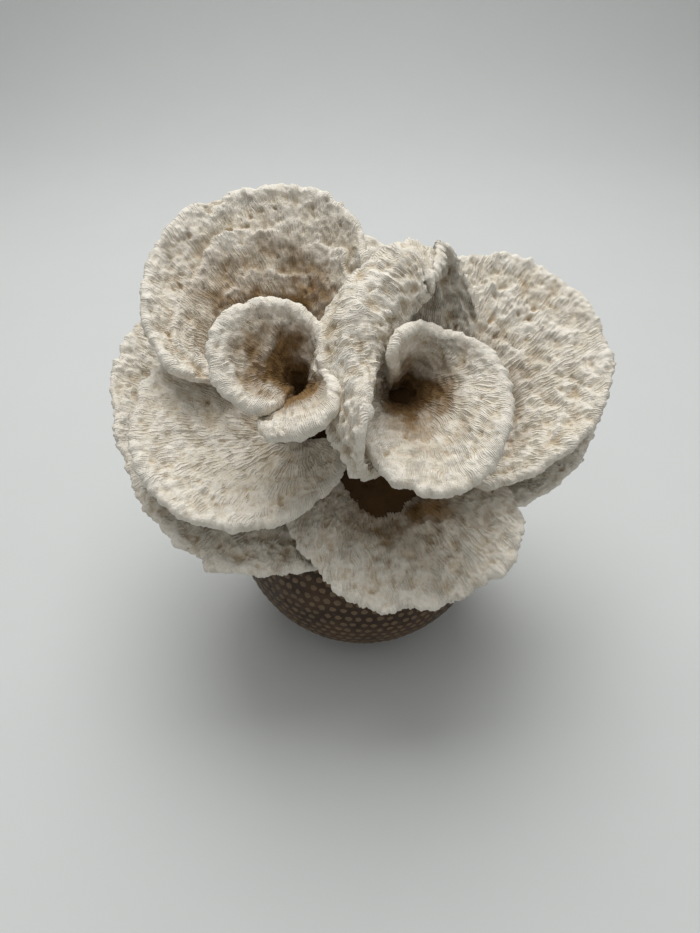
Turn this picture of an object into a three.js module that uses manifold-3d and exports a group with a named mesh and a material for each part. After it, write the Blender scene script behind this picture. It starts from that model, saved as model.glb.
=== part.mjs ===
// A scroll plate coral that stands in a rounded stoneware pot.
// Millimetres, +Z up. The origin is the middle of the pot's foot, on the table.
// +X is the right of the coral and -Y its front. Azimuth 0 is +X, 90 is +Y, the back.

import * as THREE from 'three';
import { mergeVertices } from 'three/addons/utils/BufferGeometryUtils.js';
import Module from 'manifold-3d';

const wasm = await Module();
wasm.setup();

// ---- driving dimensions ----------------------------------------------------------

const CLEARANCE = 0.3; // between pieces that grow out of or rest on each other

// The pot is a hollow ball, cut level for the foot and for the mouth.
const POT_RADIUS = 70;
const POT_CENTRE_HEIGHT = 60;
const POT_WALL = 6;
const POT_HEIGHT = 94;
const POT_FLOOR = 9;
const FOOT_HEIGHT = 3.3;

// The stump wedges in the pot's mouth and rises into a left and a right fork.
// Its outline is turned, and is widest where it passes the pot's lip.
const STUMP = [
  { radius: 24, height: 44 },
  { radius: 40, height: 66 },
  { radius: 51, height: 86 },
  { radius: 53, height: 93 },
  { radius: 48, height: 98 },
  { radius: 30, height: 113 },
];
const STUMP_TOP = 116;
// Each stop of a fork is the middle and the radius of its section.
const LEFT_FORK = [
  { at: [-10, 2, 96], radius: 27 },
  { at: [-24, 5, 114], radius: 24 },
  { at: [-31, 4, 130], radius: 21 },
  { at: [-33, -1, 144], radius: 14 },
  { at: [-32, -5, 154], radius: 8 },
];
const RIGHT_FORK = [
  { at: [8, -2, 96], radius: 27 },
  { at: [18, -4, 113], radius: 26 },
  { at: [21, -3, 130], radius: 22 },
  { at: [18, 0, 142], radius: 14 },
  { at: [15, 2, 150], radius: 8 },
];

const PLATE_ROOT_THICKNESS = 7;
const PLATE_RIM_THICKNESS = 4;

// A plate fans out from its root, round an axis that leans by `tilt` towards `azimuth`.
// It sweeps from one azimuth to another; less than a turn is a fan, more is a rolled cup.
// `throat` is its inner radius at the two ends of the sweep. `reach`, `rise` and `tip` are
// read at even steps along the sweep: the length from root to rim, and the slopes at the
// root and at the rim. `bend` over 1 keeps the turn from `rise` to `tip` near the rim.
const PLATES = {
  back_left_plate: {
    root: [-32, 14, 138],
    lean: { azimuth: 105, tilt: 0 },
    sweep: [36, 208],
    throat: [6, 6],
    reach: [64, 93, 104, 102, 82, 58],
    rise: [62, 58, 52, 46, 40, 36],
    tip: [48, 44, 40, 36, 30, 26],
    bend: 1,
  },
  left_front_plate: {
    root: [-30, -8, 128],
    lean: { azimuth: 225, tilt: 0 },
    sweep: [152, 322],
    throat: [6, 6],
    reach: [70, 77, 72, 58, 38, 30],
    rise: [35, 28, 15, 10, 20, 45],
    tip: [20, 10, 0, -5, 5, 35],
    bend: 1,
  },
  left_low_plate: {
    root: [-24, 2, 102],
    lean: { azimuth: 200, tilt: 0 },
    sweep: [134, 300],
    throat: [8, 8],
    reach: [124, 110, 93, 86, 78, 60, 44],
    rise: [30, 24, 20, 15, 10, 5, 5],
    tip: [30, 22, 14, 6, 0, -4, -4],
    bend: 1,
  },
  small_cup: {
    root: [-31, -6, 154],
    lean: { azimuth: 264, tilt: 24 },
    sweep: [262, -118],
    throat: [4, 9],
    reach: [44, 54, 56, 45, 35, 32, 56, 46],
    rise: [85, 85, 85, 84, 84, 85, 84, 82],
    tip: [15, 18, 30, 26, 46, 72, 16, 4],
    bend: 1.4,
  },
  right_back_plate: {
    root: [34, -4, 122],
    lean: { azimuth: 40, tilt: 0 },
    sweep: [-70, 90],
    throat: [8, 8],
    reach: [32, 49, 76, 97, 100, 84],
    rise: [15, 20, 28, 38, 48, 58],
    tip: [5, 10, 15, 22, 30, 40],
    bend: 1,
  },
  centre_curl: {
    root: [28, -6, 132],
    lean: { azimuth: 120, tilt: 0 },
    sweep: [52, 242],
    throat: [20, 18],
    reach: [56, 74, 112, 127, 124, 118, 112, 106, 99, 92, 86],
    rise: [62, 58, 54, 49, 39, 20],
    tip: [62, 84, 225, 262, 268, 274, 280, 280, 266, 228, 150],
    bend: 2.6,
  },
  large_cup: {
    root: [15, 2, 147],
    lean: { azimuth: 290, tilt: 40 },
    sweep: [176, -196],
    throat: [4, 9],
    reach: [50, 51, 47, 60, 74, 76, 40, 28],
    rise: [85, 85, 85, 86, 84, 80, 82, 85],
    tip: [60, 52, 42, 36, 34, 8, 10, 60],
    bend: 1.4,
  },
  right_low_plate: {
    root: [30, 0, 100],
    lean: { azimuth: 0, tilt: 0 },
    sweep: [-60, 40],
    throat: [8, 8],
    reach: [35, 52, 74, 90, 92],
    rise: [15, 15, 18, 22, 26],
    tip: [5, 8, 12, 15, 20],
    bend: 1,
  },
  front_plate: {
    root: [12, -16, 100],
    lean: { azimuth: 270, tilt: 0 },
    sweep: [-165, -12],
    throat: [8, 8],
    reach: [44, 56, 63, 65, 69, 56],
    rise: [40, 24, 12, 10, 16, 30],
    tip: [20, 4, -10, -10, -2, 14],
    bend: 1,
  },
  back_plate: {
    root: [4, 22, 106],
    lean: { azimuth: 90, tilt: 0 },
    sweep: [45, 140],
    throat: [8, 8],
    reach: [66, 85, 105, 111, 100],
    rise: [58, 56, 54, 56, 58],
    tip: [40, 38, 35, 38, 40],
    bend: 1,
  },
};

// Steps of the faceted solids.
const POT_SIDES = 32;
const POT_STEPS = { outside: 9, inside: 7 };
const LIP_TURN = 45; // degrees between the corners of the rounded lip
const STUMP_SIDES = 28;
const FORK_SIDES = 12;
const FORK_STEPS = 8;
const FAN_STEPS = { along: 20, out: 4 };
const CUP_STEPS = { along: 28, out: 6 };
const CURL_STEPS = { along: 20, out: 10 };
const PROFILE_STEPS = 32;
const CUP_SWEEP = 300; // a plate that sweeps further round than this is a cup
const CURL_BEND = 2; // and one that bends more than this is a curl
const NEAR = 1e-3; // the step that a plate's slopes are read over, in parts of its sweep or reach
const MERGE_DISTANCE = 1e-4;

// Colours and finishes.
const CORAL_COLOUR = 0xd8d1c3;
const CORAL_ROUGHNESS = 0.95;
const POT_COLOUR = 0x7a6a5d;
const POT_ROUGHNESS = 0.7;

// ---- closed meshes and booleans --------------------------------------------------

const radians = THREE.MathUtils.degToRad;
const mix = THREE.MathUtils.lerp;

/** A geometry from points and triangles, facing out. */
function solidFrom(points, triangles) {
  const geometry = new THREE.BufferGeometry();
  geometry.setAttribute('position', new THREE.Float32BufferAttribute(points.flat(), 3));
  geometry.setIndex(triangles.flat());
  return geometry;
}

/** A closed geometry as a solid that can be cut and joined. */
function toManifold(geometry) {
  const bare = new THREE.BufferGeometry();
  bare.setAttribute('position', geometry.getAttribute('position'));
  bare.setIndex(geometry.getIndex());
  const merged = mergeVertices(bare, MERGE_DISTANCE);
  const mesh = new wasm.Mesh({
    numProp: 3,
    vertProperties: Float32Array.from(merged.getAttribute('position').array),
    triVerts: Uint32Array.from(merged.getIndex().array),
  });
  return new wasm.Manifold(mesh);
}

/** The solid back as a geometry for a mesh. */
function toGeometry(manifold) {
  const mesh = manifold.getMesh();
  const geometry = new THREE.BufferGeometry();
  geometry.setAttribute('position', new THREE.BufferAttribute(mesh.vertProperties, 3));
  geometry.setIndex(new THREE.BufferAttribute(mesh.triVerts, 1));
  geometry.computeVertexNormals();
  return geometry;
}

/** A turned solid about Z from a profile of [radius, height] that starts and ends on the axis. */
function turned(profile, sides) {
  const points = profile.map(([radius, height]) => new THREE.Vector2(radius, height));
  const geometry = new THREE.LatheGeometry(points, sides);
  geometry.rotateX(Math.PI / 2);
  return geometry;
}

// ---- pot -------------------------------------------------------------------------

/** Radius of a ball of the pot's centre at a height. */
function ballRadius(ball, height) {
  return Math.sqrt(ball * ball - (height - POT_CENTRE_HEIGHT) ** 2);
}

/** Points of a ball's wall between two heights, both ends included. */
function ballWall(ball, from, to, steps) {
  const wall = [];
  for (let step = 0; step <= steps; step += 1) {
    const start = Math.asin((from - POT_CENTRE_HEIGHT) / ball);
    const end = Math.asin((to - POT_CENTRE_HEIGHT) / ball);
    const angle = mix(start, end, step / steps);
    wall.push([ball * Math.cos(angle), POT_CENTRE_HEIGHT + ball * Math.sin(angle)]);
  }
  return wall;
}

function buildPot() {
  const inner = POT_RADIUS - POT_WALL;
  const lipRadius = POT_WALL / 2;
  const lipHeight = POT_HEIGHT - lipRadius;
  const lipMiddle = ballRadius(POT_RADIUS, lipHeight) - lipRadius;
  const lip = [];
  for (let angle = LIP_TURN; angle <= 180 - LIP_TURN; angle += LIP_TURN) {
    const turn = radians(angle);
    lip.push([lipMiddle + lipRadius * Math.cos(turn), lipHeight + lipRadius * Math.sin(turn)]);
  }
  const profile = [
    [0, 0],
    [ballRadius(POT_RADIUS, FOOT_HEIGHT), 0],
    ...ballWall(POT_RADIUS, FOOT_HEIGHT, lipHeight, POT_STEPS.outside),
    ...lip,
    ...ballWall(inner, lipHeight, POT_FLOOR, POT_STEPS.inside),
    [0, POT_FLOOR],
  ];
  return toManifold(turned(profile, POT_SIDES));
}

// ---- stem ------------------------------------------------------------------------

/** A tapering limb with round ends through the stops of a fork. */
function limb(stops, grow) {
  const curve = new THREE.CatmullRomCurve3(stops.map((stop) => new THREE.Vector3(...stop.at)));
  const points = [];
  const triangles = [];
  const side = new THREE.Vector3();
  const up = new THREE.Vector3();
  for (let step = 0; step <= FORK_STEPS; step += 1) {
    const along = step / FORK_STEPS;
    const middle = curve.getPoint(along);
    const heading = curve.getTangent(along);
    const place = along * (stops.length - 1);
    const index = Math.min(Math.floor(place), stops.length - 2);
    const radius = mix(stops[index].radius, stops[index + 1].radius, place - index) + grow;
    side.set(0, 1, 0).cross(heading).normalize();
    up.crossVectors(heading, side);
    for (let corner = 0; corner < FORK_SIDES; corner += 1) {
      const turn = (2 * Math.PI * corner) / FORK_SIDES;
      const point = middle.clone();
      point.addScaledVector(side, radius * Math.cos(turn));
      point.addScaledVector(up, radius * Math.sin(turn));
      points.push(point.toArray());
    }
  }
  for (let step = 0; step < FORK_STEPS; step += 1) {
    for (let corner = 0; corner < FORK_SIDES; corner += 1) {
      const next = (corner + 1) % FORK_SIDES;
      const a = step * FORK_SIDES + corner;
      const b = step * FORK_SIDES + next;
      triangles.push([a, b, b + FORK_SIDES], [a, b + FORK_SIDES, a + FORK_SIDES]);
    }
  }
  const start = points.push(stops[0].at) - 1;
  const last = stops[stops.length - 1];
  const heading = curve.getTangent(1).multiplyScalar(last.radius / 2 + grow);
  const end = points.push(new THREE.Vector3(...last.at).add(heading).toArray()) - 1;
  for (let corner = 0; corner < FORK_SIDES; corner += 1) {
    const next = (corner + 1) % FORK_SIDES;
    const rim = FORK_STEPS * FORK_SIDES;
    triangles.push([start, next, corner], [end, rim + corner, rim + next]);
  }
  return toManifold(solidFrom(points, triangles));
}

/** The stump and its two forks, made larger all round by `grow`. */
function stem(grow) {
  const [foot, ...rest] = STUMP;
  const outline = [
    [0, foot.height - grow],
    [foot.radius + grow, foot.height - grow],
    ...rest.map(({ radius, height }) => [radius + grow, height]),
    [0, STUMP_TOP + grow],
  ];
  const stump = turned(outline, STUMP_SIDES);
  // A limb's rings tilt where it bends, so it takes twice the growth to clear a neighbour there.
  const limbs = limb(LEFT_FORK, 2 * grow).add(limb(RIGHT_FORK, 2 * grow));
  return toManifold(stump).add(limbs);
}

// ---- plates ----------------------------------------------------------------------

/** A smooth value between even stops, at 0 to 1 along them. */
function between(stops, along) {
  const last = stops.length - 1;
  const place = THREE.MathUtils.clamp(along, 0, 1) * last;
  const index = Math.min(Math.floor(place), last - 1);
  const part = place - index;
  const here = stops[index];
  const there = stops[index + 1];
  const before = index > 0 ? stops[index - 1] : 2 * here - there;
  const after = index + 2 <= last ? stops[index + 2] : 2 * there - here;
  const slope = there - before;
  const square = 2 * before - 5 * here + 4 * there - after;
  const cube = 3 * here - before - 3 * there + after;
  return 0.5 * (2 * here + part * (slope + part * (square + part * cube)));
}

/** The middle surface of a plate, `along` its sweep and `out` from root to rim, both 0 to 1. */
function platePoint(plate, along, out) {
  const rise = radians(between(plate.rise, along));
  const tip = radians(between(plate.tip, along));
  const step = (between(plate.reach, along) * out) / PROFILE_STEPS;
  let radius = mix(...plate.throat, along);
  let height = 0;
  for (let index = 0; index < PROFILE_STEPS; index += 1) {
    const walked = (out * (index + 0.5)) / PROFILE_STEPS;
    const slope = mix(rise, tip, walked ** plate.bend);
    radius += step * Math.cos(slope);
    height += step * Math.sin(slope);
  }
  const turn = radians(mix(...plate.sweep, along));
  const point = new THREE.Vector3(radius * Math.cos(turn), radius * Math.sin(turn), height);
  const heading = radians(plate.lean.azimuth);
  const axis = new THREE.Vector3(-Math.sin(heading), Math.cos(heading), 0);
  point.applyAxisAngle(axis, radians(plate.lean.tilt));
  return point.add(new THREE.Vector3(...plate.root));
}

/** The direction out of a plate's upper or inner face. */
function plateNormal(plate, along, out) {
  const clamp = (value) => THREE.MathUtils.clamp(value, 0, 1);
  const across = platePoint(plate, clamp(along + NEAR), out);
  across.sub(platePoint(plate, clamp(along - NEAR), out));
  const outward = platePoint(plate, along, clamp(out + NEAR));
  outward.sub(platePoint(plate, along, clamp(out - NEAR)));
  const handed = Math.sign(plate.sweep[1] - plate.sweep[0]);
  return outward.cross(across).normalize().multiplyScalar(handed);
}

/** How finely a plate is faceted: a cup and a curl turn more than a fan. */
function stepsOf(plate) {
  if (Math.abs(plate.sweep[1] - plate.sweep[0]) > CUP_SWEEP) {
    return CUP_STEPS;
  }
  return plate.bend > CURL_BEND ? CURL_STEPS : FAN_STEPS;
}

/** A plate as a closed shell, made larger all round by `grow`. */
function plateSolid(plate, grow) {
  const steps = stepsOf(plate);
  const handed = Math.sign(plate.sweep[1] - plate.sweep[0]);
  const upper = [];
  const lower = [];
  for (let i = 0; i <= steps.along; i += 1) {
    for (let j = 0; j <= steps.out; j += 1) {
      const along = i / steps.along;
      const out = j / steps.out;
      const middle = platePoint(plate, along, out);
      const normal = plateNormal(plate, along, out);
      const half = mix(PLATE_ROOT_THICKNESS, PLATE_RIM_THICKNESS, out) / 2 + grow;
      const inside = new THREE.Vector3();
      if (j === steps.out) {
        inside.copy(platePoint(plate, along, out - 1 / steps.out)).sub(middle);
        middle.addScaledVector(inside.normalize(), -grow);
      }
      if (i === 0 || i === steps.along) {
        const inward = i === 0 ? 1 : -1;
        inside.copy(platePoint(plate, along + inward / steps.along, out)).sub(middle);
        middle.addScaledVector(inside.normalize(), -grow);
      }
      upper.push(middle.clone().addScaledVector(normal, half).toArray());
      lower.push(middle.clone().addScaledVector(normal, -half).toArray());
    }
  }
  const row = steps.out + 1;
  const under = upper.length;
  const triangles = [];
  const quad = (a, b, c, d) => {
    triangles.push(handed > 0 ? [a, b, c] : [a, c, b]);
    triangles.push(handed > 0 ? [a, c, d] : [a, d, c]);
  };
  for (let i = 0; i < steps.along; i += 1) {
    for (let j = 0; j < steps.out; j += 1) {
      const a = i * row + j;
      quad(a, a + 1, a + row + 1, a + row);
      quad(a + under, a + under + row, a + under + row + 1, a + under + 1);
    }
    const root = i * row;
    const rim = root + steps.out;
    quad(root, root + row, root + row + under, root + under);
    quad(rim, rim + under, rim + row + under, rim + row);
  }
  for (let j = 0; j < steps.out; j += 1) {
    const last = steps.along * row + j;
    quad(j, j + under, j + under + 1, j + 1);
    quad(last, last + 1, last + 1 + under, last + under);
  }
  return toManifold(solidFrom([...upper, ...lower], triangles));
}

// ---- assembly --------------------------------------------------------------------

const coral = new THREE.Group();

/** Adds a piece to the coral under its own name. */
function addPiece(name, solid, colour, roughness) {
  const material = new THREE.MeshStandardMaterial({ color: colour, roughness, metalness: 0 });
  const mesh = new THREE.Mesh(toGeometry(solid), material);
  mesh.name = name;
  coral.add(mesh);
}

addPiece('pot', buildPot(), POT_COLOUR, POT_ROUGHNESS);
addPiece('stem', stem(0), CORAL_COLOUR, CORAL_ROUGHNESS);

let taken = stem(CLEARANCE);
for (const [name, plate] of Object.entries(PLATES)) {
  addPiece(name, plateSolid(plate, 0).subtract(taken), CORAL_COLOUR, CORAL_ROUGHNESS);
  taken = taken.add(plateSolid(plate, CLEARANCE));
}

export default coral;
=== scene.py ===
"""The looks of a scroll plate coral that stands in a rounded stoneware pot with raised dots."""

import itertools
import math

import bpy
import numpy as np
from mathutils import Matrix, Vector


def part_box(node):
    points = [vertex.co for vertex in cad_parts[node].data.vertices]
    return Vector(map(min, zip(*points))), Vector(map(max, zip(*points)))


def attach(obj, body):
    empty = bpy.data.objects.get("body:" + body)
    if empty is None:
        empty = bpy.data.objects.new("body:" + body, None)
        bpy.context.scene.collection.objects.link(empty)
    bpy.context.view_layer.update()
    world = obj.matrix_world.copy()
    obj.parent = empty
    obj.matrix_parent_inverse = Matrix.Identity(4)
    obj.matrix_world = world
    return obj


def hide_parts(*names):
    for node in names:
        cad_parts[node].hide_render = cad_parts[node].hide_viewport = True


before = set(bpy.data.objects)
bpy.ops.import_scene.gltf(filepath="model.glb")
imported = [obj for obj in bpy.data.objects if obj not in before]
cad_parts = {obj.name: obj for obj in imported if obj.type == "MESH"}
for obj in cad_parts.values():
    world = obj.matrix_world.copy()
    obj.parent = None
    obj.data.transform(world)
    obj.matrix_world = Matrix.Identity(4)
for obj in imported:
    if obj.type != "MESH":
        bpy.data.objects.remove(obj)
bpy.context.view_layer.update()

MM = 0.001

# ---- shapes of the plates, in millimetres and degrees -----------------------------
# A plate fans out from its root, round an upright axis. `lean` is the azimuth that the axis leans
# towards and by how much, `sweep` the azimuths of the plate's two ends, and `throat` how far from the
# axis it starts at each end. `reach`, `rise` and `tip` are read at even steps along the sweep: the
# length from root to rim, and the slopes at the root and at the rim. `bend` over 1 keeps the turn
# near the rim.

PLATES = {
    "back_left_plate": dict(
        lean=(105, 0), sweep=(36, 208), throat=(6, 6), bend=1,
        reach=(64, 93, 104, 102, 82, 58),
        rise=(62, 58, 52, 46, 40, 36),
        tip=(48, 44, 40, 36, 30, 26),
    ),
    "left_front_plate": dict(
        lean=(225, 0), sweep=(152, 322), throat=(6, 6), bend=1,
        reach=(70, 77, 72, 58, 38, 30),
        rise=(35, 28, 15, 10, 20, 45),
        tip=(20, 10, 0, -5, 5, 35),
    ),
    "left_low_plate": dict(
        lean=(200, 0), sweep=(134, 300), throat=(8, 8), bend=1,
        reach=(124, 110, 93, 86, 78, 60, 44),
        rise=(30, 24, 20, 15, 10, 5, 5),
        tip=(30, 22, 14, 6, 0, -4, -4),
    ),
    "small_cup": dict(
        lean=(264, 24), sweep=(262, -118), throat=(4, 9), bend=1.4,
        reach=(44, 54, 56, 45, 35, 32, 56, 46),
        rise=(85, 85, 85, 84, 84, 85, 84, 82),
        tip=(15, 18, 30, 26, 46, 72, 16, 4),
    ),
    "right_back_plate": dict(
        lean=(40, 0), sweep=(-70, 90), throat=(8, 8), bend=1,
        reach=(32, 49, 76, 97, 100, 84),
        rise=(15, 20, 28, 38, 48, 58),
        tip=(5, 10, 15, 22, 30, 40),
    ),
    "centre_curl": dict(
        lean=(120, 0), sweep=(52, 242), throat=(20, 18), bend=2.6,
        reach=(56, 74, 112, 127, 124, 118, 112, 106, 99, 92, 86),
        rise=(62, 58, 54, 49, 39, 20),
        tip=(62, 84, 225, 262, 268, 274, 280, 280, 266, 228, 150),
    ),
    "large_cup": dict(
        lean=(290, 40), sweep=(176, -196), throat=(4, 9), bend=1.4,
        reach=(50, 51, 47, 60, 74, 76, 40, 28),
        rise=(85, 85, 85, 86, 84, 80, 82, 85),
        tip=(60, 52, 42, 36, 34, 8, 10, 60),
    ),
    "right_low_plate": dict(
        lean=(0, 0), sweep=(-60, 40), throat=(8, 8), bend=1,
        reach=(35, 52, 74, 90, 92),
        rise=(15, 15, 18, 22, 26),
        tip=(5, 8, 12, 15, 20),
    ),
    "front_plate": dict(
        lean=(270, 0), sweep=(-165, -12), throat=(8, 8), bend=1,
        reach=(44, 56, 63, 65, 69, 56),
        rise=(40, 24, 12, 10, 16, 30),
        tip=(20, 4, -10, -10, -2, 14),
    ),
    "back_plate": dict(
        lean=(90, 0), sweep=(45, 140), throat=(8, 8), bend=1,
        reach=(66, 85, 105, 111, 100),
        rise=(58, 56, 54, 56, 58),
        tip=(40, 38, 35, 38, 40),
    ),
}

# How each plate's surface grew, in millimetres. `columns` and `rows` are the spacing of its mesh, and
# its underside has one row for each `under_step` rows of the upper face. `sway` is how far the whole
# plate waves, and `band` the width of its growth bands. `terraces`, `lumps`, `ridges`, `pits` and
# `fuzz` are heights of relief, and `pitted` is the share of places that have a pit. `notches` and
# `scallops` are how far the rim goes in and out, and `rounded` swells it. `grain` is the azimuth that
# the ridges lean towards, and how far they do so, 0 to 1. The last two, the brown's strength and its
# fall, say how brown the plate turns towards its root, partly its own staining and partly painted
# shade inside the cups and under the plates above; the brown spreads further out where the fall is
# small.
GROWTH = dict(
    columns=0.48, rows=1.0, under_step=2, sway=2.0, band=11, terraces=1.5, lumps=0.9,
    ridges=0.42, pitted=0.3, pits=1.1, notches=0.8, scallops=1.4, stain_and_shade=0.55, grain=(0, 0),
    rounded=0.4, fuzz=0.3, stain_and_shade_fall=1.0,
)
GROWN = {
    "back_left_plate": dict(
        band=19, terraces=3.6, pits=1.5, ridges=0.36, stain_and_shade=1.1, stain_and_shade_fall=0.8,
    ),
    "left_front_plate": dict(
        terraces=0.9, lumps=1.1, pitted=0.35, stain_and_shade=0.4, columns=0.45, ridges=0.3, rounded=0.8,
    ),
    "left_low_plate": dict(lumps=1.3, pitted=0.5, pits=1.5, notches=1.1, scallops=2.8, rows=1.2),
    "small_cup": dict(
        terraces=0.9, lumps=1.0, pitted=0.35, sway=1.2, stain_and_shade=1.25, stain_and_shade_fall=0.6, scallops=1.0,
        ridges=0.24, rounded=1.2,
    ),
    "right_back_plate": dict(
        lumps=1.3, terraces=2.6, pitted=0.25, pits=1.6, ridges=0.34, grain=(35, 0.35), band=17,
        stain_and_shade=0.75,
    ),
    "centre_curl": dict(
        under_step=1, rows=1.25, band=15, lumps=1.6, terraces=1.6, ridges=0.4, scallops=3.0,
        pitted=0.5, pits=1.6, notches=1.4, rounded=1.0,
    ),
    "large_cup": dict(
        band=14, terraces=0.8, lumps=1.0, pitted=0.35, sway=1.4, stain_and_shade=1.3, ridges=0.24, rounded=1.2,
    ),
    "right_low_plate": dict(lumps=1.2, pitted=0.4, columns=0.6, scallops=2.0),
    "front_plate": dict(
        terraces=1.4, lumps=1.3, scallops=2.6, notches=1.1, stain_and_shade=0.95, ridges=0.5, fuzz=0.4,
        grain=(-62, 0.6),
    ),
    "back_plate": dict(columns=0.75, rows=1.5),
}

ROOT_THICKNESS = 7.0
RIM_THICKNESS = 4.0
ROOT_FLARE = 5.0  # the extra thickness where a plate grows out of the stem
FLARE_LENGTH = 7.0
RIDGE_PITCH = 1.6
PROFILE_STEPS = 128
OVERRUN = 1.15  # how far past its rim a plate's profile goes on
RIM_TURNS = 5
ROWS_TO_RIM = 0.35  # how much the rows crowd towards the rim
CORNER_CUT = 5.0  # how far the two ends of a rim are rounded off, and over what length
CORNER_LENGTH = 9.0
END_ROUNDING = 3.0  # the length over which a plate's two ends thin out
SWELL_START = 9.0  # how far from the rim its swelling starts, and where it is full
SWELL_FULL = 2.0
PALE_EDGE = 9.0  # width of the paler, newer growth on a rim
DEEPEST = 0.75  # the deepest hollow, as a share of half the thickness
PLATE_SEED = 1000
SEEDS_PER_PLATE = 50

# ---- noise -------------------------------------------------------------------------

CORNERS = list(itertools.product((0, 1), repeat=3))
NEIGHBOURS = list(itertools.product((-1, 0, 1), repeat=3))
HEADINGS = np.array(
    [c for c in itertools.product((-1, 0, 1), repeat=3) if sum(map(abs, c)) == 2], np.float32
)


def shuffled(cells, seed):
    """A repeatable random whole number for each cell of a lattice."""
    x, y, z = (cells[..., axis].astype(np.int64).astype(np.uint32) for axis in range(3))
    mixed = x * np.uint32(0x9E3779B1) + y * np.uint32(0x85EBCA77) + z * np.uint32(0xC2B2AE3D)
    mixed += np.uint32(seed * 0x27D4EB2F & 0xFFFFFFFF)
    for shift, factor in ((15, 0x2C1B3C6D), (12, 0x297A2D39), (15, 0x85EBCA6B)):
        mixed ^= mixed >> np.uint32(shift)
        mixed *= np.uint32(factor)
    return mixed ^ (mixed >> np.uint32(16))


def noise(places, size, seed):
    """Smooth noise, about -1 to 1, that changes over `size`."""
    cells = (places / size).astype(np.float32)
    base = np.floor(cells)
    part = cells - base
    fade = part * part * part * (part * (part * 6 - 15) + 10)
    total = np.zeros(part.shape[:-1], np.float32)
    for corner in CORNERS:
        offset = np.array(corner, np.float32)
        heading = HEADINGS[shuffled(base + offset, seed) % np.uint32(len(HEADINGS))]
        weight = np.prod(np.where(offset > 0, fade, 1 - fade), axis=-1)
        total += weight * ((part - offset) * heading).sum(-1)
    return total * 1.4


def nearest_seed(places, size, seed, share):
    """Distance, in cells, to the nearest of the points scattered one to a cell in a share of cells."""
    cells = (places / size).astype(np.float32)
    base = np.floor(cells)
    part = cells - base
    nearest = np.full(part.shape[:-1], 9.0, np.float32)
    for corner in NEIGHBOURS:
        offset = np.array(corner, np.float32)
        drawn = shuffled(base + offset, seed)
        away = np.zeros_like(nearest)
        for axis in range(3):
            spot = ((drawn >> np.uint32(8 * axis)) & np.uint32(255)).astype(np.float32) / 255
            away += (offset[axis] + spot - part[..., axis]) ** 2
        there = (drawn >> np.uint32(24)).astype(np.float32) / 255 < share
        nearest = np.where(there, np.minimum(nearest, away), nearest)
    return np.sqrt(nearest)


def ramp(value, start, end):
    """0 before start, 1 after end, and a smooth turn in between."""
    part = np.clip((value - start) / (end - start), 0, 1)
    return part * part * (3 - 2 * part)


def unit(vectors):
    """Vectors of length 1."""
    return vectors / np.maximum(np.linalg.norm(vectors, axis=-1, keepdims=True), 1e-9)


# ---- the middle surface of a plate -------------------------------------------------


def between(stops, along):
    """A smooth value between even stops, at 0 to 1 along them."""
    stops = np.asarray(stops, float)
    last = len(stops) - 1
    place = np.clip(along, 0, 1) * last
    index = np.minimum(place.astype(int), last - 1)
    part = place - index
    here = stops[index]
    there = stops[index + 1]
    before = np.where(index > 0, stops[np.maximum(index - 1, 0)], 2 * here - there)
    after = np.where(index + 2 <= last, stops[np.minimum(index + 2, last)], 2 * there - here)
    square = 2 * before - 5 * here + 4 * there - after
    cube = 3 * here - before - 3 * there + after
    return 0.5 * (2 * here + part * (there - before + part * (square + part * cube)))


def middle_surface(plate, along, out):
    """Points of a plate at places `along` its sweep, each at rows `out` from root to rim."""
    rise = np.radians(between(plate["rise"], along))[:, None]
    tip = np.radians(between(plate["tip"], along))[:, None]
    step = OVERRUN / PROFILE_STEPS
    walked = (np.arange(PROFILE_STEPS) + 0.5) * step
    slope = rise + (tip - rise) * walked ** plate["bend"]
    start = np.zeros((len(along), 1))
    away = np.hstack([start, np.cumsum(np.cos(slope), axis=1)]) * step
    up = np.hstack([start, np.cumsum(np.sin(slope), axis=1)]) * step
    place = np.clip(out / step, 0, PROFILE_STEPS - 1e-6)
    index = place.astype(int)
    part = place - index
    column = np.arange(len(along))[:, None]
    reach = between(plate["reach"], along)[:, None]
    throat = (plate["throat"][0] + (plate["throat"][1] - plate["throat"][0]) * along)[:, None]
    turn = np.radians(plate["sweep"][0] + (plate["sweep"][1] - plate["sweep"][0]) * along)[:, None]
    radius = throat + reach * (away[column, index] * (1 - part) + away[column, index + 1] * part)
    height = reach * (up[column, index] * (1 - part) + up[column, index + 1] * part)
    points = np.stack([radius * np.cos(turn), radius * np.sin(turn), height], axis=-1)
    heading, tilt = np.radians(plate["lean"])
    axis = np.array([-math.sin(heading), math.cos(heading), 0])
    across = np.cross(axis, points)
    twice = np.cross(axis, across)
    return points + math.sin(tilt) * across + (1 - math.cos(tilt)) * twice


def facing(plate, points):
    """Directions out of a plate's upper or inner face, for a grid of its points."""
    handed = np.sign(plate["sweep"][1] - plate["sweep"][0])
    across = np.gradient(points, axis=0)
    outward = np.gradient(points, axis=1)
    return unit(np.cross(outward, across)) * handed, unit(outward)


def root_of(name, plate):
    """Where a plate's root is, from the free sides of its box in the frame."""
    along = np.linspace(0, 1, 61)
    out = np.tile(np.linspace(0, 1, 13), (len(along), 1))
    points = middle_surface(plate, along, out)
    normal = facing(plate, points)[0]
    half = (ROOT_THICKNESS + (RIM_THICKNESS - ROOT_THICKNESS) * out[..., None]) / 2
    shell = np.concatenate([points + normal * half, points - normal * half]).reshape(-1, 3)
    low, high = (np.array(corner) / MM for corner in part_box(name))
    swept = abs(plate["sweep"][1] - plate["sweep"][0])
    middle = math.radians(plate["lean"][0] if swept > 300 else sum(plate["sweep"]) / 2)
    free_high = np.array([math.cos(middle) > 0, math.sin(middle) > 0, True])
    return np.where(free_high, high - shell.max(0), low - shell.min(0))


# ---- growth on the plates ----------------------------------------------------------


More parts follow.
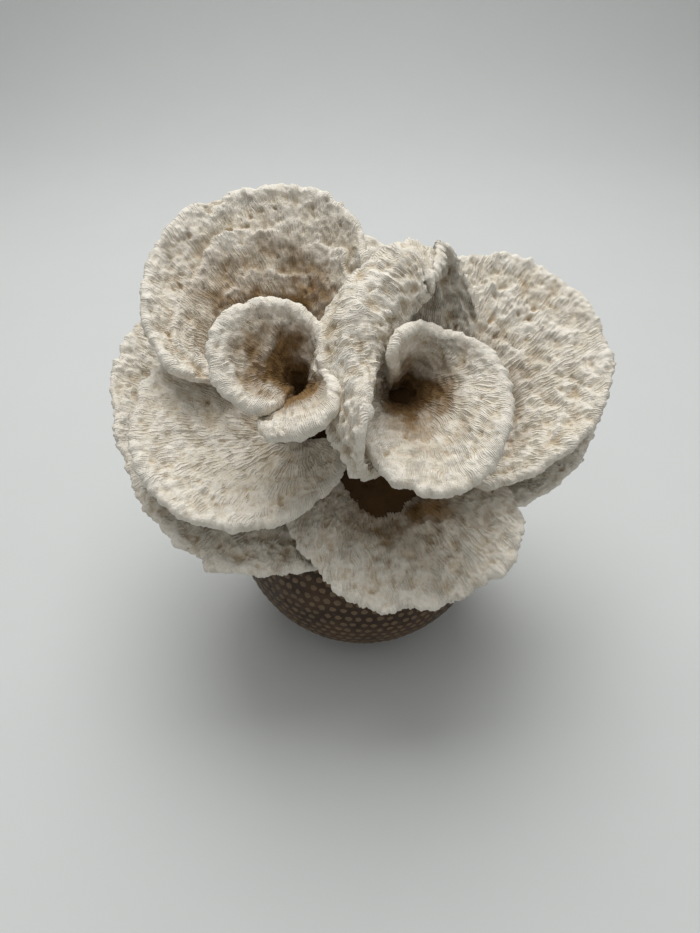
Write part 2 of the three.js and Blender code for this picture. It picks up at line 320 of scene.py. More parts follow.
def even_columns(plate, spacing):
    """Places along the sweep that are evenly spaced near the rim, and the rim's length."""
    along = np.linspace(0, 1, 400)
    line = middle_surface(plate, along, np.full((400, 1), 0.85))[:, 0]
    length = np.append(0, np.cumsum(np.linalg.norm(np.diff(line, axis=0), axis=1)))
    places = np.linspace(0, length[-1], int(length[-1] / spacing) + 1)
    return np.interp(places, length, along), places


def ridge_rows(plate, grown, along):
    """For each growth band, how many ridges lie before each column."""
    bands = int(np.mean(plate["reach"]) * OVERRUN / grown["band"]) + 5
    rows = (np.arange(bands) - 1.0) * grown["band"] / np.mean(plate["reach"])
    rows = np.clip(rows, 0.06, 1.0)
    lines = middle_surface(plate, along, np.tile(rows, (len(along), 1)))
    steps = np.linalg.norm(np.diff(lines, axis=0), axis=-1)
    counted = np.vstack([np.zeros((1, bands)), np.cumsum(steps, axis=0)]) / RIDGE_PITCH
    return counted + 0.37 * np.arange(bands)


def growth(plate, grown, along, places, out, upper, seed):
    """The relief of a plate in millimetres and the masks that its finish reads."""
    warp = 3.2 * noise(places, 24, seed) + 2.4 * noise(places, 10, seed + 1)
    warp += 1.7 * noise(places, 4.5, seed + 2)
    band = (out * np.mean(plate["reach"]) + 1.6 * warp) / grown["band"]
    within = np.mod(band + 0.5, 1)
    broken = 0.25 + 0.75 * ramp(noise(places, 20, seed + 3), -0.3, 0.35)
    terrace = within**1.5 * (1 - ramp(within, 0.84, 1.0)) - 0.3
    recess = (1 - ramp(within, 0.05, 0.4)) * broken

    counted = ridge_rows(plate, grown, along)
    column = np.arange(len(along))[:, None]
    last = counted.shape[1] - 1
    even = 2 * np.floor((band + 1) / 2)
    odd = 2 * np.floor(band / 2) + 1
    azimuth = math.radians(grown["grain"][0])
    combed = grown["grain"][1]
    straight = places[..., 1] * math.cos(azimuth) - places[..., 0] * math.sin(azimuth)
    wobble = 0.9 * noise(places, 9, seed + 4) + 0.3 * noise(places, 3.6, seed + 5)
    phases = []
    for index in (even, odd):
        radial = counted[column, np.clip(index + 1, 0, last).astype(int)]
        phases.append((1 - combed) * radial + combed * straight / RIDGE_PITCH + wobble)
    to_odd = 1 - ramp(np.abs(band - odd), 0.42, 0.58)
    crests = [0.5 + 0.5 * np.cos(2 * np.pi * phase) for phase in phases]
    ridge = crests[0] * (1 - to_odd) + crests[1] * to_odd

    tuft = ramp(noise(places, 7, seed + 6) + 0.6 * noise(places, 3.2, seed + 7), -0.3, 0.35)
    billow = noise(places, 6.5, seed + 8) + 0.8 * np.abs(noise(places, 9, seed + 12)) - 0.2
    knobs = noise(places, 2.6, seed + 9)
    crowd = ramp(noise(places, 17, seed + 10), -0.25, 0.35)
    share = grown["pitted"] * (0.35 + 0.65 * float(np.mean(crowd)))
    distance = nearest_seed(places, 4.6, seed + 11, share) + 0.3 * noise(places, 2.2, seed + 13)
    pit = (1 - ramp(distance, 0.1, 0.42)) * (0.3 + 0.7 * np.maximum(crowd, recess))

    under = 1 - upper
    strength = grown["ridges"] * (upper * (0.3 + 0.7 * tuft) + 0.5 * under)
    strength = strength * (1 - 0.45 * ramp(out, 0.93, 0.99))
    relief = 2 * strength * (ridge - 0.5) * (1 - 0.7 * pit)
    relief += grown["terraces"] * terrace * broken * (0.35 + 0.65 * upper)
    relief += grown["lumps"] * (0.8 * billow + 0.6 * knobs) * (0.5 + 0.5 * upper)
    relief += grown["fuzz"] * noise(places, 1.5, seed + 14)
    relief -= grown["pits"] * pit * (0.3 + 0.7 * upper)
    masks = {
        "even": phases[0],
        "odd": phases[1],
        "to_odd": to_odd,
        "tuft": tuft * (0.4 + 0.6 * upper),
        # The pit mask also takes the recess below each growth ledge, where the finish paints shade.
        "pit": np.clip(pit + 0.45 * recess * upper, 0, 1),
    }
    return relief, masks


def grow_plate(name, seed):
    """One plate of the coral as a closed mesh with its growth on it."""
    plate = PLATES[name]
    grown = {**GROWTH, **GROWN[name]}
    root = root_of(name, plate)
    along, places = even_columns(plate, grown["columns"])
    reach = between(plate["reach"], along)
    end = np.minimum(places, places[-1] - places)

    rim = middle_surface(plate, along, np.ones((len(along), 1)))[:, 0] + root
    notch = grown["scallops"] * (noise(rim, 15, seed + 20) - 0.25 * np.abs(noise(rim, 9, seed + 21)))
    notch += grown["notches"] * (noise(rim, 4.2, seed + 22) + 0.3 * noise(rim, 1.9, seed + 25))
    notch -= CORNER_CUT * (1 - ramp(end, 0, CORNER_LENGTH)) ** 1.5
    full = 1 + notch / reach - RIM_THICKNESS / 2 / reach

    steps = int(reach.mean() / grown["rows"] / grown["under_step"]) * grown["under_step"]
    even = np.linspace(0, 1, steps + 1)
    rows = even + ROWS_TO_RIM * even * (1 - even)
    out = full[:, None] * rows[None, :]
    middle = middle_surface(plate, along, out) + root
    normal, outward = facing(plate, middle)
    swing = noise(middle, 38, seed + 23) + 0.5 * noise(middle, 19, seed + 24)
    middle = middle + normal * (grown["sway"] * swing * ramp(out, 0.1, 0.9))[..., None]
    normal, outward = facing(plate, middle)

    walk = out * reach[:, None]
    half = (ROOT_THICKNESS + (RIM_THICKNESS - ROOT_THICKNESS) * out) / 2
    half = half + ROOT_FLARE / 2 * np.exp(-walk / FLARE_LENGTH)
    half = half + grown["rounded"] * ramp(reach[:, None] - walk, SWELL_START, SWELL_FULL)
    side = np.clip(end / END_ROUNDING, 0.002, 1)
    half = half * np.sqrt(side * (2 - side))[:, None]

    under = slice(None, None, -grown["under_step"])
    turns = np.pi / 2 - np.pi * np.arange(1, RIM_TURNS + 1) / (RIM_TURNS + 1)
    tip = np.cos(turns)[None, :, None] * outward[:, -1:] + np.sin(turns)[None, :, None] * normal[:, -1:]
    rim_rows = (len(along), RIM_TURNS)
    headings = np.concatenate([normal, tip, -normal[:, under]], axis=1)
    halves = np.concatenate(
        [half, np.broadcast_to(half[:, -1:], rim_rows), half[:, under]], axis=1
    )
    middles = np.concatenate(
        [middle, np.broadcast_to(middle[:, -1:], (*rim_rows, 3)), middle[:, under]], axis=1
    )
    outs = np.concatenate([out, np.broadcast_to(out[:, -1:], rim_rows), out[:, under]], axis=1)
    uppers = np.concatenate([np.ones(steps + 1), 0.5 + 0.5 * np.sin(turns), 0 * out[0, under]])
    if grown["under_step"] == 1:
        uppers = np.ones_like(uppers)
    points = middles + headings * halves[..., None]
    relief, masks = growth(plate, grown, along, points, outs, uppers[None, :], seed)
    relief = np.maximum(relief, -DEEPEST * halves) * ramp(end, 0.2, 2.5)[:, None]
    points = points + headings * relief[..., None]

    masks["relief"] = relief
    masks["edge"] = ramp(outs * reach[:, None] - reach[:, None], -PALE_EDGE, 0)
    # Brown towards the root: partly the coral's own staining, partly painted shade inside the cups and
    # under the plates above.
    depth = (1 - np.clip(outs, 0, 1)) ** grown["stain_and_shade_fall"]
    masks["root_stain_and_shade"] = grown["stain_and_shade"] * depth * (0.4 + 0.6 * uppers[None, :])
    faces = closed_sheet(len(along), steps, grown["under_step"], plate["sweep"][1] > plate["sweep"][0])
    return piece(name, points.reshape(-1, 3), faces, masks)


def closed_sheet(columns, steps, under_step, handed):
    """Faces of a sheet whose columns are closed sections: upper rows, rim turns and under rows."""
    under = steps // under_step
    ring = steps + 1 + RIM_TURNS + under + 1
    index = np.arange(columns * ring).reshape(columns, ring)
    nearer = index[:-1]
    farther = index[1:]
    quads = np.stack(
        [nearer, np.roll(nearer, -1, axis=1), np.roll(farther, -1, axis=1), farther], axis=-1
    ).reshape(-1, 4)
    faces = (quads if handed else quads[:, ::-1]).tolist()
    for column, faces_on in ((0, handed), (columns - 1, not handed)):
        first = column * ring
        last = first + ring - 1
        cap = [list(range(first + steps, first + steps + RIM_TURNS + 2))]
        for step in range(under):
            low = last - step
            top = first + step * under_step
            cap.append([low, *range(top, top + under_step + 1), low - 1])
        faces.extend(c[::-1] if faces_on else c for c in cap)
    return faces


def piece(name, points, faces, masks):
    """A new mesh piece, from millimetres, with its masks as attributes."""
    mesh = bpy.data.meshes.new(name)
    mesh.from_pydata((points * MM).tolist(), [], faces)
    mesh.polygons.foreach_set("use_smooth", np.ones(len(mesh.polygons), bool))
    for label, values in masks.items():
        layer = mesh.attributes.new(label, "FLOAT", "POINT")
        layer.data.foreach_set("value", np.ascontiguousarray(values, np.float32).ravel())
    mesh.update()
    made = bpy.data.objects.new(name + "_grown", mesh)
    bpy.context.scene.collection.objects.link(made)
    return made


# ---- stem --------------------------------------------------------------------------

STEM_MESH = 1.7  # spacing of the stem's mesh
# The stem's neck, in the deep hollow under the plates, is painted dark brown as shade.
NECK_START = 94  # heights between which the stem turns dark brown
NECK_DARKEST = 106
SWELL_LOW = 138  # heights between which the tips of the forks swell
SWELL_HIGH = 146


def grow_stem():
    """The stump and its forks, rounded off and covered with the same lumps as the plates."""
    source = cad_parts["stem"]
    made = bpy.data.objects.new("stem_grown", source.data.copy())
    bpy.context.scene.collection.objects.link(made)
    made.data.materials.clear()
    remesh = made.modifiers.new("even mesh", "REMESH")
    remesh.mode = "VOXEL"
    remesh.voxel_size = STEM_MESH * MM
    smooth = made.modifiers.new("rounded", "SMOOTH")
    smooth.iterations = 3
    shaped = bpy.data.meshes.new_from_object(
        made.evaluated_get(bpy.context.evaluated_depsgraph_get())
    )
    made.modifiers.clear()
    made.data = shaped
    count = len(shaped.vertices)
    points = np.empty(count * 3, np.float32)
    normals = np.empty(count * 3, np.float32)
    shaped.vertices.foreach_get("co", points)
    shaped.vertices.foreach_get("normal", normals)
    points = points.reshape(-1, 3) / MM
    normals = normals.reshape(-1, 3)
    relief = 1.5 * ramp(points[:, 2], SWELL_LOW, SWELL_HIGH) + 1.6 * noise(points, 18, 301)
    relief += 1.1 * (np.abs(noise(points, 7, 302)) * 2 - 0.5)
    relief += 0.4 * noise(points, 3, 303)
    turn = np.arctan2(points[:, 1], points[:, 0])
    relief += 0.4 * np.cos(turn * 150 + 2 * noise(points, 9, 304))
    pit = 1 - ramp(nearest_seed(points, 5, 305, 0.4), 0.14, 0.34)
    relief -= 1.2 * pit
    shaped.vertices.foreach_set("co", ((points + normals * relief[:, None]) * MM).ravel())
    shaped.polygons.foreach_set("use_smooth", np.ones(len(shaped.polygons), bool))
    # Painted shade on the neck, under the overhanging plates.
    neck = ramp(points[:, 2], NECK_START, NECK_DARKEST)
    for label, values in {"relief": relief, "pit": pit, "neck": neck}.items():
        layer = shaped.attributes.new(label, "FLOAT", "POINT")
        layer.data.foreach_set("value", values.astype(np.float32))
    shaped.update()
    return made


# ---- pot ---------------------------------------------------------------------------

POT_MIDDLE = 60 / 94  # height of the ball's centre, as a share of the pot's height
POT_WALL = 6.0
POT_FLOOR = 9.0
POT_ROWS = 108
FOOT_TOP = 3.3  # height at which the wall leaves the foot's edge
DOTS_AROUND = 82
DOT_ROWS = 16
DOT_ROW_PITCH = 4.5  # degrees of latitude
LOWEST_DOTS = -43.0
DOT_RADIUS = 2.05
DOT_HEIGHT = 0.7
DOT_GROOVE = 0.35
SIDES_PER_DOT = 6


def dots_on(latitude, azimuth, radius):
    """How high a dot stands at places on the pot's wall, 0 to 1."""
    draw = np.random.default_rng(57)
    height = np.zeros(latitude.shape)
    for row in range(DOT_ROWS):
        middle = LOWEST_DOTS + row * DOT_ROW_PITCH
        near = np.abs(latitude - middle) < DOT_ROW_PITCH
        pitch = 360 / DOTS_AROUND
        shift = (row % 2) * pitch / 2
        jitter = draw.uniform(-0.10, 0.10, (DOTS_AROUND, 2))
        size = draw.uniform(0.88, 1.1, DOTS_AROUND)
        index = np.round((azimuth - shift) / pitch).astype(int) % DOTS_AROUND
        across = np.mod(azimuth - shift + pitch / 2, pitch) - pitch / 2 - pitch * jitter[index, 0]
        up = latitude - middle - DOT_ROW_PITCH * jitter[index, 1]
        millimetres = math.radians(1) * radius
        across = across * millimetres * np.cos(np.radians(latitude))
        away = np.hypot(across, up * millimetres) / (DOT_RADIUS * size[index])
        dome = np.sqrt(np.clip(1 - away**2, 0, 1)) * ramp(away, 1.0, 0.75)
        height = np.where(near, np.maximum(height, dome), height)
    return height


def turn_pot():
    """The pot as a turned wall with its lip, inside, foot and rows of raised dots."""
    low, high = (np.array(corner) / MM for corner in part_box("pot"))
    radius = float(max(high[0], high[1]))
    middle = float(high[2]) * POT_MIDDLE
    lip = POT_WALL / 2
    lip_height = float(high[2]) - lip
    start = math.degrees(math.asin((FOOT_TOP - middle) / radius))
    end = math.degrees(math.asin((lip_height - middle) / radius))
    latitudes = np.linspace(start, end, POT_ROWS)
    outside = [
        [radius * math.cos(math.radians(a)), middle + radius * math.sin(math.radians(a))]
        for a in latitudes
    ]
    foot_radius = outside[0][0]
    inner = radius - POT_WALL
    lip_middle = math.sqrt(radius**2 - (lip_height - middle) ** 2) - lip
    rim = [
        [lip_middle + lip * math.cos(math.radians(a)), lip_height + lip * math.sin(math.radians(a))]
        for a in range(20, 180, 20)
    ]
    top = math.asin((lip_height - middle) / inner)
    bottom = math.asin((POT_FLOOR - middle) / inner)
    inside = [
        [inner * math.cos(a), middle + inner * math.sin(a)] for a in np.linspace(top, bottom, 16)
    ]
    base = [[foot_radius * share, 0.0] for share in (0.35, 0.7, 0.95)]
    edge = [[foot_radius - 0.3, 0.35], [foot_radius, 1.2]]
    profile = np.array([*base, *edge, *outside, *rim, *inside, [inside[-1][0] * 0.4, POT_FLOOR]])
    sides = DOTS_AROUND * SIDES_PER_DOT
    azimuth = np.arange(sides) * 360 / sides
    first = len(base) + len(edge)
    dots = np.zeros((sides, len(profile)))
    grid = np.meshgrid(latitudes, azimuth)
    dots[:, first:first + len(latitudes)] = dots_on(grid[0], grid[1], radius)

    turn = np.radians(azimuth)[:, None]
    points = np.stack(
        [
            profile[None, :, 0] * np.cos(turn),
            profile[None, :, 0] * np.sin(turn),
            np.broadcast_to(profile[None, :, 1], (sides, len(profile))),
        ],
        axis=-1,
    )
    headings = unit(points - np.array([0, 0, middle]))
    above_foot = ramp(points[..., 2], 1.0, 4.0)
    relief = DOT_HEIGHT * dots + 0.18 * noise(points, 14, 401) + 0.06 * noise(points, 3, 402)
    relief = (relief * above_foot - DOT_GROOVE * ramp(dots, 0.0, 0.1)) * above_foot
    points = points + headings * relief[..., None]

    rows = len(profile)
    index = np.arange(sides * rows).reshape(sides, rows)
    after = np.roll(index, -1, axis=0)
    quads = np.stack([index[:, :-1], after[:, :-1], after[:, 1:], index[:, 1:]], axis=-1)
    faces = quads.reshape(-1, 4).tolist()
    faces.append(index[::-1, 0].tolist())
    faces.append(index[:, -1].tolist())
    masks = {"dot": dots, "relief": relief, "low": ramp(-points[..., 2], -14, -6)}
    return piece("pot", points.reshape(-1, 3), faces, masks)


# ---- finishes ----------------------------------------------------------------------


def place_node(tree, kind, takes=None, **settings):
    """A new node. What an input takes is a value, or a socket to link from."""
    node = tree.nodes.new(kind)
    for key, value in settings.items():
        setattr(node, key, value)
    for key, value in (takes or {}).items():
        if isinstance(value, bpy.types.NodeSocket):
            tree.links.new(value, node.inputs[key])
        else:
            node.inputs[key].default_value = value
    return node


def figure(tree, operation, first, second=0.0):
    """One sum on two values."""
    return place_node(tree, "ShaderNodeMath", {0: first, 1: second}, operation=operation).outputs[0]


def spread(tree, value, low, high, to_low=0.0, to_high=1.0):
    """A value from low to high stretched over another span, smoothly."""
    takes = {"Value": value, "From Min": low, "From Max": high, "To Min": to_low, "To Max": to_high}
    node = place_node(tree, "ShaderNodeMapRange", takes, interpolation_type="SMOOTHSTEP")
    return node.outputs["Result"]


def tinted(tree, share, first, second, mode="MIX"):
    """One colour turned towards another by a share."""
    takes = {0: share, 6: first, 7: second}
    node = place_node(tree, "ShaderNodeMix", takes, data_type="RGBA", blend_type=mode)
    return node.outputs[2]


def read(tree, label):
    """A mask that the mesh carries."""
    node = place_node(tree, "ShaderNodeAttribute", attribute_type="GEOMETRY", attribute_name=label)
    return node.outputs["Fac"]


def clouds(tree, size, detail=3.0, roughness=0.55):
    """Noise from 0 to 1 that changes over `size` millimetres."""
    where = place_node(tree, "ShaderNodeTexCoord").outputs["Object"]
    takes = {"Vector": where, "Scale": 1 / (size * MM), "Detail": detail, "Roughness": roughness}
    return place_node(tree, "ShaderNodeTexNoise", takes).outputs["Fac"]


def new_group(name, takes, gives):
    """A shader node group with named inputs and outputs."""
    tree = bpy.data.node_groups.new(name, "ShaderNodeTree")
    for label, kind, value in takes:
        socket = tree.interface.new_socket(label, in_out="INPUT", socket_type="NodeSocket" + kind)
        socket.default_value = value
    for label, kind in gives:
        tree.interface.new_socket(label, in_out="OUTPUT", socket_type="NodeSocket" + kind)
    return tree, tree.nodes.new("NodeGroupInput").outputs, tree.nodes.new("NodeGroupOutput").inputs


def use_group(tree, group, **takes):
    """A group placed in a material, with its own values."""
    named = {key.replace("_", " "): value for key, value in takes.items()}
    return place_node(tree, "ShaderNodeGroup", named, node_tree=group).outputs


def make_grain():
    """Fine grain and open pores in a hard, dull surface."""
    tree, takes, gives = new_group(
        "grain and pores",
        [("Pore Depth", "Float", 0.5), ("Roughness", "Float", 1.0)],
        [("Height", "Float"), ("Pores", "Float"), ("Hollows", "Float")],
    )
    where = place_node(tree, "ShaderNodeTexCoord").outputs["Object"]
    cells = {"Vector": where, "Scale": 1 / (1.1 * MM), "Randomness": 1.0}
    distance = place_node(tree, "ShaderNodeTexVoronoi", cells).outputs["Distance"]
    pores = figure(tree, "MULTIPLY", spread(tree, distance, 0.1, 0.3, 1.0, 0.0), clouds(tree, 5))
    rough = clouds(tree, 2.2, 5.0, 0.72)
    hollow = figure(tree, "MULTIPLY", pores, takes["Pore Depth"])
    grain = figure(tree, "MULTIPLY", rough, takes["Roughness"])
    tree.links.new(figure(tree, "SUBTRACT", grain, hollow), gives["Height"])
    tree.links.new(spread(tree, rough, 0.54, 0.36), gives["Hollows"])
    tree.links.new(pores, gives["Pores"])
    return tree


def make_hollow_stain_and_shade():
    """Colour that turns darker in the hollows of a surface and paler on what stands proud. On the coral
    and the stump the dark is partly real stain and partly painted shade, and the pale is a painted
    highlight.
    """
    tree, takes, gives = new_group(
        "hollow stain",
        [
            ("Colour", "Color", (0.7, 0.65, 0.55, 1)),
            ("Hollow", "Float", 0.0),
            ("Proud", "Float", 0.0),
            ("Stain", "Color", (0.3, 0.2, 0.12, 1)),
            ("Bloom", "Color", (0.8, 0.76, 0.68, 1)),
        ],
        [("Colour", "Color")],
    )
    patchy = spread(tree, clouds(tree, 9), 0.3, 0.65, 0.55, 1.0)
    # Hollows turn towards the darker colour and proud parts towards the paler one.
    stained_and_shaded = tinted(
        tree, figure(tree, "MULTIPLY", takes["Hollow"], patchy), takes["Colour"], takes["Stain"]
    )
    tree.links.new(tinted(tree, takes["Proud"], stained_and_shaded, takes["Bloom"]), gives["Colour"])
    return tree


def new_finish(name):
    """A new material with its shader, and its node tree."""
    material = bpy.data.materials.new(name)
    material.use_nodes = True
    tree = material.node_tree
    return material, tree, tree.nodes["Principled BSDF"]


# CORAL_TAN and CORAL_BROWN turn the hollows and the roots darker, partly the coral's own stain and
# partly painted shade, and CORAL_PALE is also a painted highlight on crests. The last colour, on the
# stump's neck, is painted shade.
CORAL_CREAM = (0.83, 0.785, 0.69, 1)
CORAL_PALE = (0.90, 0.865, 0.785, 1)
CORAL_TAN = (0.60, 0.49, 0.34, 1)
CORAL_BROWN = (0.24, 0.145, 0.06, 1)
NECK_SHADE_BROWN = (0.085, 0.045, 0.016, 1)


def coral_finish(grain, stain_and_shade):
    """Dull, warm white coral: ridged, tan in its hollows and towards its roots (its own stain and
    painted shade), paler on its crests (a painted highlight) and pale on its rims.
    """
    material, tree, shader = new_finish("coral")
    relief = read(tree, "relief")
    pit = read(tree, "pit")
    root_stain_and_shade = read(tree, "root_stain_and_shade")
    tuft = read(tree, "tuft")
    fine = []
    for label in ("even", "odd"):
        turns = figure(tree, "MULTIPLY", read(tree, label), 4 * math.pi)
        fine.append(figure(tree, "COSINE", turns))
    between_fine = place_node(tree, "ShaderNodeMix", {0: read(tree, "to_odd"), 2: fine[0], 3: fine[1]})
    stripes = figure(tree, "MULTIPLY", between_fine.outputs[0], spread(tree, tuft, 0.0, 1.0, 0.3, 1.0))
    specks = use_group(tree, grain, Pore_Depth=0.8, Roughness=3.0)

    # Hollows, pits, recesses and the low spots of the grain turn tan: partly the coral's own stain,
    # partly painted shade.
    hollow = spread(tree, relief, 0.2, -1.3)
    hollow = figure(tree, "MAXIMUM", hollow, pit)
    sunk = figure(tree, "MULTIPLY", figure(tree, "MAXIMUM", specks["Pores"], specks["Hollows"]), 0.45)
    hollow = figure(tree, "ADD", figure(tree, "MULTIPLY", hollow, 0.75), sunk)
    # Crests turn paler as a painted highlight; the paler new growth on the rim is the coral's own
    # colour.
    proud = figure(tree, "MULTIPLY", spread(tree, relief, 0.2, 1.4), 0.55)
    proud = figure(tree, "MAXIMUM", proud, figure(tree, "MULTIPLY", read(tree, "edge"), 0.45))
    cream = tinted(tree, spread(tree, clouds(tree, 22), 0.35, 0.7), CORAL_CREAM, CORAL_PALE)
    # The troughs between the fine ridges turn tan: partly the coral's own colour, partly painted shade.
    grooved = figure(tree, "MULTIPLY", spread(tree, stripes, 0.2, -1.0), 0.3)
    cream = tinted(tree, grooved, cream, CORAL_TAN)
    stained_and_shaded = use_group(
        tree, stain_and_shade, Colour=cream, Hollow=hollow, Proud=proud, Stain=CORAL_TAN, Bloom=CORAL_PALE
    )["Colour"]
    # Towards the roots and inside the cups the coral turns brown: partly staining, partly painted shade.
    patchy_root_stain_and_shade = figure(tree, "MULTIPLY", root_stain_and_shade, spread(tree, clouds(tree, 14), 0.3, 0.7, 0.6, 1.2))
    root_darkened = tinted(tree, spread(tree, patchy_root_stain_and_shade, 0.15, 0.8), stained_and_shaded, CORAL_BROWN)
    # The bottoms of deep pits turn brown: partly brown pits, partly painted shade.
    dark = figure(tree, "MULTIPLY", pit, spread(tree, relief, -0.6, -1.8))
    colour = tinted(tree, figure(tree, "MULTIPLY", dark, 0.45), root_darkened, CORAL_BROWN)
    tree.links.new(colour, shader.inputs["Base Color"])
    tree.links.new(spread(tree, hollow, 0.0, 1.0, 0.82, 1.0), shader.inputs["Roughness"])
    shader.inputs["Specular IOR Level"].default_value = 0.25
    height = figure(tree, "ADD", figure(tree, "MULTIPLY", stripes, 0.4), specks["Height"])
    bump = place_node(tree, "ShaderNodeBump", {"Strength": 0.9, "Distance": 0.45 * MM, "Height": height})
    tree.links.new(bump.outputs["Normal"], shader.inputs["Normal"])
    return material


def stump_finish(grain, stain_and_shade):
    """The older coral of the stump: duller and browner, with lumps and pores, browner in its hollows
    (stain and painted shade), paler on its lumps (a painted highlight) and painted dark with shade at
    the neck.
    """
    material, tree, shader = new_finish("stump")
    relief = read(tree, "relief")
    specks = use_group(tree, grain, Pore_Depth=1.0, Roughness=2.5)
    # Hollows and pits turn brown, partly stain and partly painted shade; lumps turn paler as a painted
    # highlight.
    hollow = figure(tree, "MAXIMUM", spread(tree, relief, 0.4, -2.2), read(tree, "pit"))
    cream = tinted(tree, spread(tree, clouds(tree, 16), 0.3, 0.7), CORAL_CREAM, CORAL_TAN)
    proud = figure(tree, "MULTIPLY", spread(tree, relief, 0.6, 2.2), 0.5)
    stained_and_shaded = use_group(
        tree, stain_and_shade, Colour=cream, Hollow=hollow, Proud=proud, Stain=CORAL_BROWN, Bloom=CORAL_CREAM
    )["Colour"]
    # The neck, deep under the plates, is painted dark brown as shade.
    colour = tinted(tree, read(tree, "neck"), stained_and_shaded, NECK_SHADE_BROWN)
    tree.links.new(colour, shader.inputs["Base Color"])
    tree.links.new(spread(tree, hollow, 0.0, 1.0, 0.85, 1.0), shader.inputs["Roughness"])
    shader.inputs["Specular IOR Level"].default_value = 0.25
    takes = {"Strength": 0.8, "Distance": 0.4 * MM, "Height": specks["Height"]}
    tree.links.new(place_node(tree, "ShaderNodeBump", takes).outputs["Normal"], shader.inputs["Normal"])
    return material


POT_GROUND = (0.068, 0.033, 0.014, 1)
POT_DARK = (0.030, 0.014, 0.006, 1)
DOT_PALE = (0.165, 0.112, 0.062, 1)
DOT_GREY = (0.12, 0.086, 0.05, 1)


def stoneware_finish(grain, stain_and_shade):
    """Taupe brown stoneware under a thin satin glaze, with olive-beige dots of slip."""
    material, tree, shader = new_finish("stoneware")
    dot = read(tree, "dot")
    specks = use_group(tree, grain, Pore_Depth=0.5, Roughness=0.8)
    ground = tinted(tree, spread(tree, clouds(tree, 18), 0.3, 0.7), POT_GROUND, POT_DARK)
    ground = tinted(tree, figure(tree, "MULTIPLY", specks["Pores"], 0.5), ground, POT_DARK)
    slip = tinted(tree, spread(tree, clouds(tree, 12), 0.35, 0.65), DOT_PALE, DOT_GREY)
    thin = spread(tree, figure(tree, "MULTIPLY_ADD", clouds(tree, 1.6), 0.3), 0.0, 1.0, 0.0, 0.3)
    cover = figure(tree, "SUBTRACT", spread(tree, dot, 0.12, 0.6), thin)
    painted = tinted(tree, spread(tree, cover, 0.0, 0.9), ground, slip)
    # The grooves round the dots and the wall near the foot are made darker, and the dots' crowns a
    # little paler.
    groove = spread(tree, read(tree, "relief"), 0.0, -0.4, 0.0, 0.5)
    hollow = figure(tree, "MAXIMUM", groove, read(tree, "low"))
    colour = use_group(
        tree, stain_and_shade, Colour=painted, Hollow=hollow, Proud=spread(tree, dot, 0.85, 1.0, 0.0, 0.2),
        Stain=POT_DARK, Bloom=DOT_PALE,
    )["Colour"]
    tree.links.new(colour, shader.inputs["Base Color"])
    tree.links.new(spread(tree, clouds(tree, 4), 0.3, 0.7, 0.42, 0.62), shader.inputs["Roughness"])
    shader.inputs["Specular IOR Level"].default_value = 0.25
    takes = {"Strength": 0.35, "Distance": 0.25 * MM, "Height": specks["Height"]}
    tree.links.new(place_node(tree, "ShaderNodeBump", takes).outputs["Normal"], shader.inputs["Normal"])
    return material


def paper_finish():
    """Matt pale grey paper."""
    material, tree, shader = new_finish("backdrop paper")
    tone = tinted(tree, clouds(tree, 60), (0.57, 0.59, 0.59, 1), (0.59, 0.61, 0.61, 1))
    tree.links.new(tone, shader.inputs["Base Color"])
    shader.inputs["Roughness"].default_value = 0.9
    shader.inputs["Specular IOR Level"].default_value = 0.2
    return material


# ---- the object --------------------------------------------------------------------


def belongs(made, node, material):
    """The piece stands for its CAD node, with its finish."""
    made.data.materials.append(material)
    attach(made, "root")
    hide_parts(node)


grain_group = make_grain()
stain_and_shade_group = make_hollow_stain_and_shade()
coral = coral_finish(grain_group, stain_and_shade_group)
for number, plate_name in enumerate(PLATES):
    grown_plate = grow_plate(plate_name, PLATE_SEED + SEEDS_PER_PLATE * number)
    belongs(grown_plate, plate_name, coral)
belongs(grow_stem(), "stem", stump_finish(grain_group, stain_and_shade_group))
belongs(turn_pot(), "pot", stoneware_finish(grain_group, stain_and_shade_group))

# ---- floor, light and camera -------------------------------------------------------

SWEEP_START = 0.64
SWEEP_RADIUS = 0.45
SWEEP_STEPS = 24
PAPER_END = 2.5
AIM_HEIGHT = 0.12
FOCAL_SHARE = 0.75134  # the lens's focal length, as a share of the sensor's height


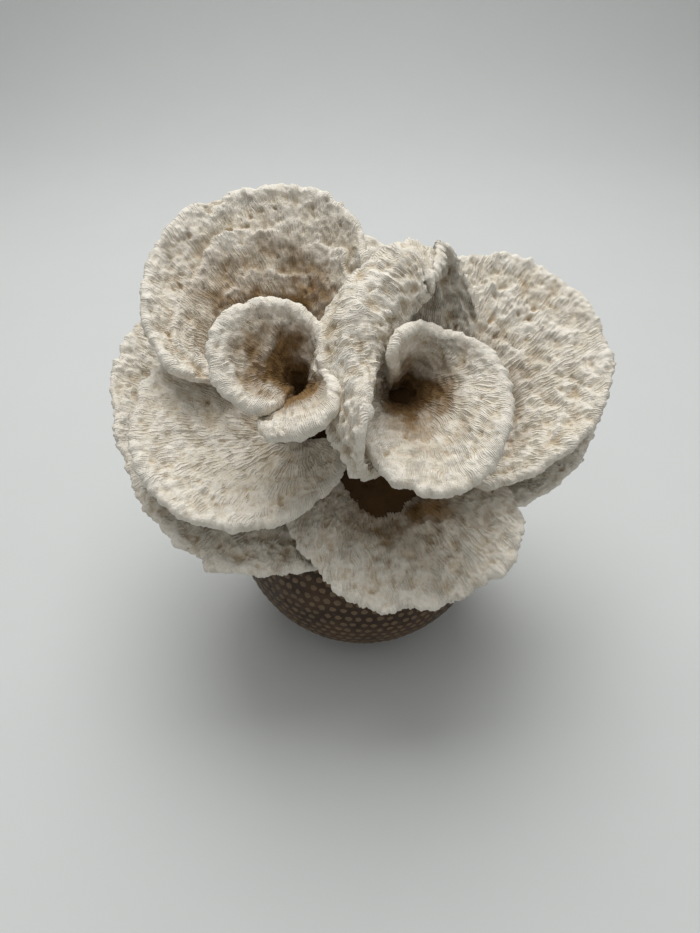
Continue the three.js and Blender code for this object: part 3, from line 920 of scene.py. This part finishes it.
def lay_paper():
    """A paper floor that sweeps up behind the object."""
    line = [(-PAPER_END, 0.0), (SWEEP_START, 0.0)]
    for step in range(1, SWEEP_STEPS + 1):
        turn = math.radians(90 * step / SWEEP_STEPS)
        line.append(
            (SWEEP_START + SWEEP_RADIUS * math.sin(turn), SWEEP_RADIUS * (1 - math.cos(turn)))
        )
    line.append((SWEEP_START + SWEEP_RADIUS, PAPER_END))
    points = [(x, y, z) for y, z in line for x in (-PAPER_END, PAPER_END)]
    faces = [(2 * i, 2 * i + 1, 2 * i + 3, 2 * i + 2) for i in range(len(line) - 1)]
    mesh = bpy.data.meshes.new("backdrop")
    mesh.from_pydata(points, [], faces)
    mesh.polygons.foreach_set("use_smooth", [True] * len(faces))
    mesh.materials.append(paper_finish())
    floor = bpy.data.objects.new("backdrop", mesh)
    bpy.context.scene.collection.objects.link(floor)


def hang_light(name, place, size, power, spread_angle, colour=(1, 1, 1)):
    """A square soft light that faces the object."""
    light = bpy.data.lights.new(name, "AREA")
    light.size = size
    light.spread = math.radians(spread_angle)
    light.energy = power
    light.color = colour
    made = bpy.data.objects.new(name, light)
    made.location = place
    aim = Vector((0, 0, AIM_HEIGHT)) - Vector(place)
    made.rotation_euler = aim.to_track_quat("-Z", "Y").to_euler()
    bpy.context.scene.collection.objects.link(made)


def set_camera():
    """The camera looks down on the coral from the front at 45 degrees."""
    camera = bpy.data.cameras.new("camera")
    camera.sensor_fit = "VERTICAL"
    camera.lens = camera.sensor_height * FOCAL_SHARE
    made = bpy.data.objects.new("camera", camera)
    made.location = (-0.007, -0.264, 0.365)
    made.rotation_euler = (math.radians(45), 0, 0)
    bpy.context.scene.collection.objects.link(made)
    bpy.context.scene.camera = made


lay_paper()
hang_light("window light", (-0.08, 0.6, 1.3), 1.1, 6.6, 105, (1.0, 0.99, 0.97))
hang_light("ceiling light", (0.0, 0.0, 1.9), 1.8, 2.6, 105)
set_camera()
bpy.context.scene.view_settings.view_transform = "Standard"
world = bpy.data.worlds.new("room")
world.use_nodes = True
world.node_tree.nodes["Background"].inputs["Color"].default_value = (1.0, 0.99, 0.965, 1)
world.node_tree.nodes["Background"].inputs["Strength"].default_value = 0.36
bpy.context.scene.world = world
